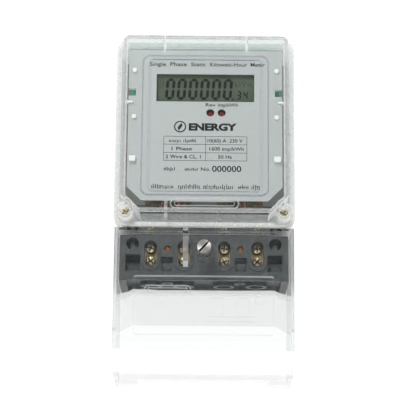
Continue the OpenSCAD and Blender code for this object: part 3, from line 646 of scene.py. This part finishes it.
print_marks = bmesh.new()
for word, x0, x1 in (("Single", -35.2, -25.0), ("Phase", -22.3, -11.8), ("Static", -9.2, 0.2),
                     ("Kilowatt-Hour", 2.8, 26.2), ("Meter", 28.4, 37.4)):
    figures(print_marks, word, x0, x1, 58.9, 2.7, PLATE_FACE, INK)
figures(print_marks, "Rev", 0.2, 6.4, 32.2, 2.3, PLATE_FACE, INK)
figures(print_marks, "imp/kWh", 8.0, 20.4, 32.2, 2.3, PLATE_FACE, INK)
figures(print_marks, "ENERGY", -10.2, 19.8, 16.6, 4.4, PLATE_FACE, INK, fat=0.32)
TABLE = (-25.7, 26.1, -3.2, 12.5)
RULE = 0.24
for x in (TABLE[0], 0.36, TABLE[1]):
    bar(print_marks, x - RULE / 2, x + RULE / 2, TABLE[2], TABLE[3], PLATE_FACE, INK)
for z in (TABLE[2], 1.9, 7.3, TABLE[3]):
    bar(print_marks, TABLE[0], TABLE[1], z - RULE / 2, z + RULE / 2, PLATE_FACE, INK)
row_of_words(print_marks, [(-22.3, -14.6), (-13.4, -5.0)], 8.7, 2.3, 0.4)
for wording, x0, x1, z in (("1 Phase", -20.7, -8.1, 3.4), ("2 Wire & CL. 1", -24.4, -2.6, -1.8),
                           ("10(60) A  230 V", 1.6, 23.4, 8.7), ("1600 imp/kWh", 2.8, 24.2, 3.4),
                           ("50 Hz", 8.2, 16.8, -1.8)):
    figures(print_marks, wording, x0, x1, z, 2.3, PLATE_FACE, INK)
row_of_words(print_marks, [(-25.4, -18.0)], -9.8, 2.3, 0.42)
row_of_words(print_marks, [(-12.4, -4.0)], -9.8, 2.1, 0.42)
figures(print_marks, "No.", -2.4, 3.4, -9.8, 2.3, PLATE_FACE, INK)
figures(print_marks, "000000", 4.5, 22.6, -10.3, 3.9, PLATE_FACE, INK, fat=0.08)
row_of_words(print_marks, [(-33.0, -18.9), (-16.4, -2.6), (-0.8, 18.4), (20.8, 27.2), (29.0, 34.3)],
             -21.4, 2.9, 0.46)

SIGN_X = -15.6
SIGN_Z = 18.8
ink_ring = bmesh.ops.create_circle(print_marks, cap_ends=False, segments=48, radius=0.0038)["verts"]
ring_edges = list({e for v in ink_ring for e in v.link_edges})
inner = bmesh.ops.extrude_edge_only(print_marks, edges=ring_edges)["geom"]
inner_verts = [g for g in inner if isinstance(g, bmesh.types.BMVert)]
bmesh.ops.scale(print_marks, verts=inner_verts, vec=(0.8, 0.8, 1))
ring_verts = ink_ring + inner_verts
bmesh.ops.rotate(print_marks, verts=ring_verts, cent=(0, 0, 0),
                 matrix=Matrix.Rotation(math.radians(90), 3, "X"))
bmesh.ops.translate(print_marks, verts=ring_verts,
                    vec=(SIGN_X / 1000, PLATE_FACE - INK, SIGN_Z / 1000))
bolt = [(0.9, 2.6), (-1.5, -0.4), (-0.2, -0.4), (-0.9, -2.6), (1.5, 0.5), (0.2, 0.5)]
bolt_face = print_marks.faces.new(
    [print_marks.verts.new(((x + SIGN_X) / 1000, PLATE_FACE - INK, (z + SIGN_Z) / 1000)) for x, z in bolt])
bmesh.ops.triangulate(print_marks, faces=[bolt_face])

ink, tree, shader = moulded("screen_ink", (0.006, 0.007, 0.008), (0.014, 0.015, 0.017), 0.55, scale=1500,
                             Specular_IOR_Level=0.15)
finished(print_marks, "plate_print", "case", ink)


# ---------------------------------------------------------------- display
# Two sheets of glass on black contact strips, with a green-grey reflector behind and dark
# segments between the sheets. Every digit leans a little to the right.

lcd_ground, tree, shader = finish_of("reflector_film", (0.1, 0.13, 0.09), 0.5)
place = place_on(tree)
tree.links.new(ramp(tree, grain(tree, place, 160, 5, 0.6),
                    [(0.3, (0.078, 0.1, 0.074)), (0.7, (0.1, 0.124, 0.086))]),
               shader.inputs["Base Color"])
bumps(tree, shader, grain(tree, place, 3000, 2), 0.15, 0.00002)
dress("lcd_reflector", lcd_ground)
dress("lcd_rear_glass", lcd_ground)
pane, tree, shader = finish_of("display_pane", (0.95, 0.97, 0.94), 0.02, Transmission_Weight=1.0,
                               IOR=1.15)
bumps(tree, shader, grain(tree, place_on(tree), 60, 2), 0.03, 0.00003)
lets_light_in(tree, shader.outputs[0], (0.9, 0.93, 0.88), 1.0)
dress("lcd_front_glass", pane)
rubber, tree, shader = moulded("striped_rubber", (0.02, 0.02, 0.02), (0.05, 0.05, 0.05), 0.6, scale=600)
dress("lcd_contact_strips", rubber)

SEGMENT_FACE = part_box("lcd_rear_glass")[0][1]
SEGMENT_THICK = 0.00012
LEAN = 0.075
# Each segment is a bar between two corners of a digit two squares high.
SEGMENTS = {"a": ((0, 2), (1, 2)), "b": ((1, 2), (1, 1)), "c": ((1, 1), (1, 0)), "d": ((0, 0), (1, 0)),
            "e": ((0, 1), (0, 0)), "f": ((0, 2), (0, 1)), "g": ((0, 1), (1, 1))}
LIT = {"0": "abcdef", "3": "abcdg", "4": "bcfg", "8": "abcdefg"}


def digit(marks, lit, x, z, wide, high, pen):
    """A leaning seven segment digit with pointed segments."""
    for name in LIT[lit]:
        (ax, az), (bx, bz) = SEGMENTS[name]
        start = Vector((x + pen / 2 + ax * (wide - pen), z + pen / 2 + az / 2 * (high - pen)))
        end = Vector((x + pen / 2 + bx * (wide - pen), z + pen / 2 + bz / 2 * (high - pen)))
        along = (end - start).normalized()
        side = Vector((-along.y, along.x)) * pen / 2
        start += along * 0.12 * pen
        end -= along * 0.12 * pen
        tip = along * pen / 2
        outline = [start, start + tip + side, end - tip + side, end, end - tip - side, start + tip - side]
        front = SEGMENT_FACE - SEGMENT_THICK
        corners = [marks.verts.new(((p.x + LEAN * (p.y - z)) / 1000, front, p.y / 1000)) for p in outline]
        face = marks.faces.new(corners)
        thickened(marks, [face], SEGMENT_THICK * 0.9)


lit_marks = bmesh.new()
DIGIT_PITCH = 7.24
for k in range(6):
    digit(lit_marks, "0", -25.5 + k * DIGIT_PITCH, 37.3, 5.7, 14.0, 1.8)
digit(lit_marks, "3", 19.4, 37.7, 2.9, 5.6, 0.9)
digit(lit_marks, "4", 23.6, 37.7, 2.9, 5.6, 0.9)
bar(lit_marks, 16.8, 17.8, 37.3, 38.4, SEGMENT_FACE, SEGMENT_THICK)
segment_dye, tree, shader = moulded("segment_dye", (0.004, 0.005, 0.006), (0.008, 0.009, 0.01), 0.6,
                                    scale=900, Specular_IOR_Level=0.1)
finished(lit_marks, "lit_segments", "case", segment_dye)

faint_marks = bmesh.new()
digit(faint_marks, "8", -28.9, 45.2, 2.4, 5.8, 0.5)
figures(faint_marks, "kW h", 18.7, 29.0, 46.0, 3.6, SEGMENT_FACE, SEGMENT_THICK * 0.6)
faint_dye, tree, shader = moulded("idle_segment_dye", (0.026, 0.034, 0.028), (0.038, 0.048, 0.038), 0.5,
                                  scale=900)
finished(faint_marks, "idle_segments", "case", faint_dye)


# ---------------------------------------------------------------- indicator lamps
# Two 5 mm lamps in dark red tinted epoxy, on short legs on the board. Their domes stand a
# little behind the holes of the nameplate.

tinted, tree, shader = finish_of("tinted_epoxy", (0.35, 0.012, 0.012), 0.12, Coat_Weight=0.6)
place = place_on(tree)
tree.links.new(ramp(tree, grain(tree, place, 500, 3),
                    [(0.3, (0.2, 0.008, 0.008)), (0.7, (0.36, 0.02, 0.018))]), shader.inputs["Base Color"])
for n in ("led_reverse", "led_pulse"):
    dress(n, tinted)


# ---------------------------------------------------------------- main cover
# A deep box moulded in clear polycarbonate with a raised window, round upper corners, cut lower
# corners and two towers for the sealing screws. It stands on the seal.


def clear_plastic(name):
    """Polished polycarbonate, a little wavy, with its object coordinates and normal split up."""
    made, tree, shader = finish_of(name, (0.97, 0.98, 0.98), 0.03, Transmission_Weight=1.0, IOR=1.48)
    bumps(tree, shader, grain(tree, place_on(tree), 55, 3, 0.55), 0.1, 0.00008)
    where = node_at(tree, "ShaderNodeTexCoord")
    facing = node_at(tree, "ShaderNodeSeparateXYZ")
    tree.links.new(where.outputs["Normal"], facing.inputs[0])
    return made, tree, shader, axes_of(tree), facing.outputs


def from_outline(tree, spot, x_half, z_low, z_high, radius):
    """Distance from a rectangle with round corners in the X and Z plane, negative inside it."""
    dx = maths(tree, "SUBTRACT", folded(tree, spot["X"], 0), x_half - radius)
    dz = maths(tree, "SUBTRACT", folded(tree, spot["Z"], (z_low + z_high) / 2),
               (z_high - z_low) / 2 - radius)
    out_x = maths(tree, "MAXIMUM", dx, 0)
    out_z = maths(tree, "MAXIMUM", dz, 0)
    corner = maths(tree, "SQRT", maths(tree, "ADD", maths(tree, "MULTIPLY", out_x, out_x),
                                       maths(tree, "MULTIPLY", out_z, out_z)))
    inside = maths(tree, "MINIMUM", maths(tree, "MAXIMUM", dx, dz), 0)
    return maths(tree, "SUBTRACT", maths(tree, "ADD", corner, inside), radius)


# Half width, bottom, top and corner radius of the raised window, its flat pane and the box's front.
WINDOW = (0.0388, -0.0293, 0.0605, 0.0045)
PANE = (0.0345, -0.0269, 0.0581, 0.0025)
BOX_FRONT = (0.0513, -0.0401, 0.0739, 0.004)
TOP_FROM = 0.055
TOWER_X = 0.0488
TOWER_Z = -0.0363
TOWER_RIM_HIGHLIGHTS = (0.0052, 0.0031)
TOP_RIBS = (0.0255, 0.0006)     # how far the ribs stand from the middle, and half their width
RIBS_DOWN_TO = 0.0622
OVAL_TOP = -0.0305
OVAL_PROUD = -0.05885           # the raised oval stands in front of this

clear, tree, shader, spot, facing = clear_plastic("clear_polycarbonate")
window_edge = maths(tree, "ABSOLUTE", from_outline(tree, spot, *WINDOW))
pane_edge = maths(tree, "ABSOLUTE", from_outline(tree, spot, *PANE))
# Painted shade: dark lines run along the raised window's edge and, more faintly, along the pane's outline.
# They stand in for the edge's refraction and for the shadow it throws on the nameplate.
lines = maths(tree, "MAXIMUM", remapped(tree, window_edge, 0.0, 0.0007, 0.45, 0.0),
              remapped(tree, pane_edge, 0.0, 0.0016, 0.1, 0.0))
border = remapped(tree, from_outline(tree, spot, *BOX_FRONT), -0.0034, -0.0026, 0.0, 0.31)
level_faces = remapped(tree, folded(tree, facing["Z"], 0), 0.75, 0.9)
border = maths(tree, "MULTIPLY", border, maths(tree, "SUBTRACT", 1.0, level_faces))
sides = remapped(tree, folded(tree, facing["X"], 0), 0.1, 0.6, 0.0, 0.4)
top = maths(tree, "MULTIPLY", maths(tree, "GREATER_THAN", spot["Z"], TOP_FROM),
            remapped(tree, folded(tree, facing["Z"], 0), 0.1, 0.6, 0.0, 0.12))
mottle = remapped(tree, grain(tree, place_on(tree), 240, 5, 0.6), 0.25, 0.65, 0.7, 1.0)
matt = maths(tree, "MULTIPLY", mottle, maths(tree, "MAXIMUM", border, maths(tree, "MAXIMUM", sides, top)))
tower_x = maths(tree, "SUBTRACT", folded(tree, spot["X"], 0), TOWER_X)
tower_z = maths(tree, "SUBTRACT", spot["Z"], TOWER_Z)
from_tower = maths(tree, "SQRT", maths(tree, "ADD", maths(tree, "MULTIPLY", tower_x, tower_x),
                                       maths(tree, "MULTIPLY", tower_z, tower_z)))
# Painted highlight: whitish rings round the towers, at the radii where their rims catch the light.
for radius in TOWER_RIM_HIGHLIGHTS:
    circle = remapped(tree, folded(tree, from_tower, radius), 0.0001, 0.0006, 0.6, 0.0)
    matt = maths(tree, "MAXIMUM", matt, circle)
rib = maths(tree, "MULTIPLY", maths(tree, "GREATER_THAN", spot["Z"], RIBS_DOWN_TO),
            maths(tree, "COMPARE", folded(tree, spot["X"], 0), *TOP_RIBS))
raised = maths(tree, "MULTIPLY", maths(tree, "LESS_THAN", spot["Z"], OVAL_TOP),
               maths(tree, "LESS_THAN", spot["Y"], OVAL_PROUD))
matt = maths(tree, "MAXIMUM", matt, maths(tree, "MULTIPLY", maths(tree, "MAXIMUM", rib, raised), 0.45))
# The skin is whitish where the cover is matt and dark bluish along the painted edge shade.
skin = node_at(tree, "ShaderNodeMix", data_type="RGBA")
skin.inputs["A"].default_value = (0.92, 0.93, 0.93, 1)
skin.inputs["B"].default_value = (0.3, 0.29, 0.37, 1)
tree.links.new(maths(tree, "GREATER_THAN", lines, matt), skin.inputs["Factor"])
veiled = scattering(tree, shader, maths(tree, "MAXIMUM", matt, lines), skin.outputs["Result"])
lets_light_in(tree, veiled, (0.96, 0.97, 0.97), 1.0)
dress(softened("main_cover", "clear_main_cover", 0.0006, 3), clear)


# ---------------------------------------------------------------- sealing screws
# Zinc-plated screws with crossed recesses, sunk deep in the towers of the main cover. They turn
# in the brass inserts of the rim.

# Painted shade: the plating's dark colour stands in for the shade deep in the towers. Its roughness makes
# it dull.
shaded_zinc, tree, shader = moulded("passivation_painted_dark", (0.3, 0.26, 0.16), (0.5, 0.45, 0.32), 0.4, scale=500,
                             bump=0.3, metallic=1.0)
for side in ("left", "right"):
    dress(softened(f"seal_screw_{side}", f"sealing_screw_{side}", 0.00015), shaded_zinc)


# ---------------------------------------------------------------- terminal cover
# A long hood in the same clear polycarbonate over the block and the cables, with a stop rib, a
# raised panel line and a plain wiring sketch on its front.

# Middle and half width of the stop rib across and up, and of the raised oval.
RIB_ACROSS = (-0.0112, 0.0018)
RIB_UP = (-0.062, 0.01)
OVAL_ACROSS = (-0.0217, 0.016)
OVAL_UP = (-0.0884, 0.004)
INNER_FACE = -0.05715
RAISED_FACE = -0.05908
PANEL_TOP = -0.0806
FOOT_LINE = (-0.1339, 0.0004)
FOOT_STARTS = (-0.133, -0.1345, -0.1355)

hood, tree, shader, spot, facing = clear_plastic("clear_hood_polycarbonate")
sides = remapped(tree, folded(tree, facing["X"], 0), 0.3, 0.8, 0.0, 0.25)
in_rib = maths(tree, "MULTIPLY", maths(tree, "COMPARE", spot["X"], *RIB_ACROSS),
               maths(tree, "GREATER_THAN", spot["Y"], INNER_FACE))
in_rib = maths(tree, "MULTIPLY", in_rib, maths(tree, "COMPARE", spot["Z"], *RIB_UP))
on_oval = maths(tree, "MULTIPLY", maths(tree, "COMPARE", spot["X"], *OVAL_ACROSS),
                maths(tree, "COMPARE", spot["Z"], *OVAL_UP))
# Painted highlight: on the raised face above PANEL_TOP the matt skin is stronger, standing in for light
# caught along the panel's top edge. The oval gets the same stronger skin.
bright = maths(tree, "MAXIMUM", on_oval, maths(tree, "GREATER_THAN", spot["Z"], PANEL_TOP))
raised = maths(tree, "MULTIPLY", maths(tree, "LESS_THAN", spot["Y"], RAISED_FACE),
               remapped(tree, bright, 0, 1, 0.05, 0.3))
foot_line = maths(tree, "MULTIPLY", maths(tree, "COMPARE", spot["Z"], *FOOT_LINE), 0.3)
foot = remapped(tree, spot["Z"], FOOT_STARTS[0], FOOT_STARTS[2], 0.0, 0.1)
veil = maths(tree, "MAXIMUM", sides, maths(tree, "MULTIPLY", in_rib, 0.36))
for share in (raised, foot_line, foot):
    veil = maths(tree, "MAXIMUM", veil, share)
see_through = node_at(tree, "ShaderNodeBsdfTransparent")
foot_end = node_at(tree, "ShaderNodeMixShader")
tree.links.new(remapped(tree, spot["Z"], FOOT_STARTS[1], FOOT_STARTS[2], 0.0, 0.7), foot_end.inputs[0])
tree.links.new(scattering(tree, shader, veil, (0.92, 0.93, 0.94)), foot_end.inputs[1])
tree.links.new(see_through.outputs[0], foot_end.inputs[2])
lets_light_in(tree, foot_end.outputs[0], (0.96, 0.97, 0.97), 1.0)
dress(softened("terminal_cover", "clear_terminal_cover", 0.0005, 3), hood)


# ---------------------------------------------------------------- terminal cover's screw
# A long nickel-plated brass screw, slotted, its face turned in fine circles. A rubber ring keeps
# it in the cover.

nickel, tree, shader = finish_of("turned_nickel", (0.86, 0.84, 0.79), 0.33, 1.0, Anisotropic=0.75)
turned = node_at(tree, "ShaderNodeTangent", direction_type="RADIAL", axis="Y")
tree.links.new(turned.outputs[0], shader.inputs["Tangent"])
bumps(tree, shader, grain(tree, place_on(tree), 700, 4), 0.12, 0.00004)
SLOT_RIM = 0.0003
SLOT_DEPTH = 0.0002
low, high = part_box("terminal_cover_screw")
spot = axes_of(tree)
off_x = maths(tree, "SUBTRACT", spot["X"], (low[0] + high[0]) / 2)
off_z = maths(tree, "SUBTRACT", spot["Z"], (low[2] + high[2]) / 2)
from_axis = maths(tree, "SQRT", maths(tree, "ADD", maths(tree, "MULTIPLY", off_x, off_x),
                                      maths(tree, "MULTIPLY", off_z, off_z)))
# Painted shade: inside the head's rim, faces more than SLOT_DEPTH behind the face, in the slot, are toned
# dark brown.
within = maths(tree, "LESS_THAN", from_axis, (high[0] - low[0]) / 2 - SLOT_RIM)
painted_slot_shade = maths(tree, "MULTIPLY", within, maths(tree, "GREATER_THAN", spot["Y"], low[1] + SLOT_DEPTH))
toned(tree, shader, painted_slot_shade, (0.16, 0.13, 0.07))
dress("terminal_cover_screw", nickel)
ring_rubber, tree, shader = moulded("ring_rubber", (0.02, 0.02, 0.02), (0.05, 0.05, 0.05), 0.55, scale=600)
dress("screw_retaining_ring", ring_rubber)
